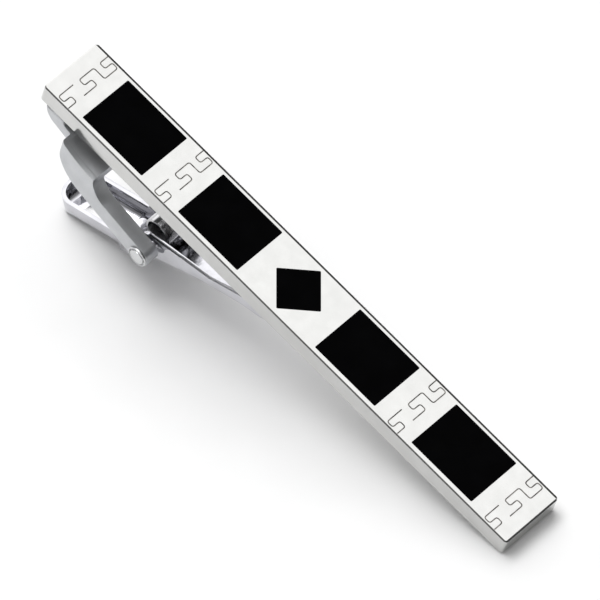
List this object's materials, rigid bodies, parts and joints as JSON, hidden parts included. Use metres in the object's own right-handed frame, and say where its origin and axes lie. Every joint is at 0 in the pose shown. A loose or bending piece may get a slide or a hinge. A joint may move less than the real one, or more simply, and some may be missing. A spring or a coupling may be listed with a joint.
{
  "type": "tie clip",
  "caption": "Slim straight tie clip: polished metal bar with black enamel inlays and an engraved key line, and a sprung alligator clip behind it that grips a tie.",
  "frame": {"origin": "centre of the front bar's flat back face", "axes": "+X along the bar to its free end, +Y across the bar, +Z out of the bar's front face; the clip is behind the bar, at -Z"},
  "size_m": [0.06, 0.0098, 0.0193],
  "materials": {
    "polished_plate": "polished rhodium-tone plating",
    "black_enamel": "glossy hard enamel",
    "key_fill": "dark antiquing paint in the engraved line",
    "satin_casting": "satin plated casting",
    "solder": "plated solder",
    "bright_plate": "bright plated pressed sheet",
    "rivet_plate": "plated rivet",
    "spring_steel": "bright plated spring strip"
  },
  "bodies": {
    "clip_frame": {"front_bar": "polished_plate", "enamel_outer_left": "black_enamel", "enamel_inner_left": "black_enamel", "enamel_diamond": "black_enamel", "enamel_inner_right": "black_enamel", "enamel_outer_right": "black_enamel", "key_fill_outer_left": "key_fill", "key_fill_inner_left": "key_fill", "key_fill_inner_right": "key_fill", "key_fill_outer_right": "key_fill", "clip_bracket": "satin_casting", "solder_seam": "solder", "hinge_rivet": "rivet_plate", "torsion_spring": "spring_steel"},
    "lever": {"clip_lever": "bright_plate"}
  },
  "joints": [
    {"name": "lever_pivot", "type": "hinge", "parent": "clip_frame", "child": "lever", "pos_m": [-0.0144, 0, -0.00685], "axis": [0, 1, 0], "range_deg": [0, 25], "stiffness_Nm_per_rad": 0.06, "springref_deg": -40.11, "deforming": ["torsion_spring"]}
  ]
}
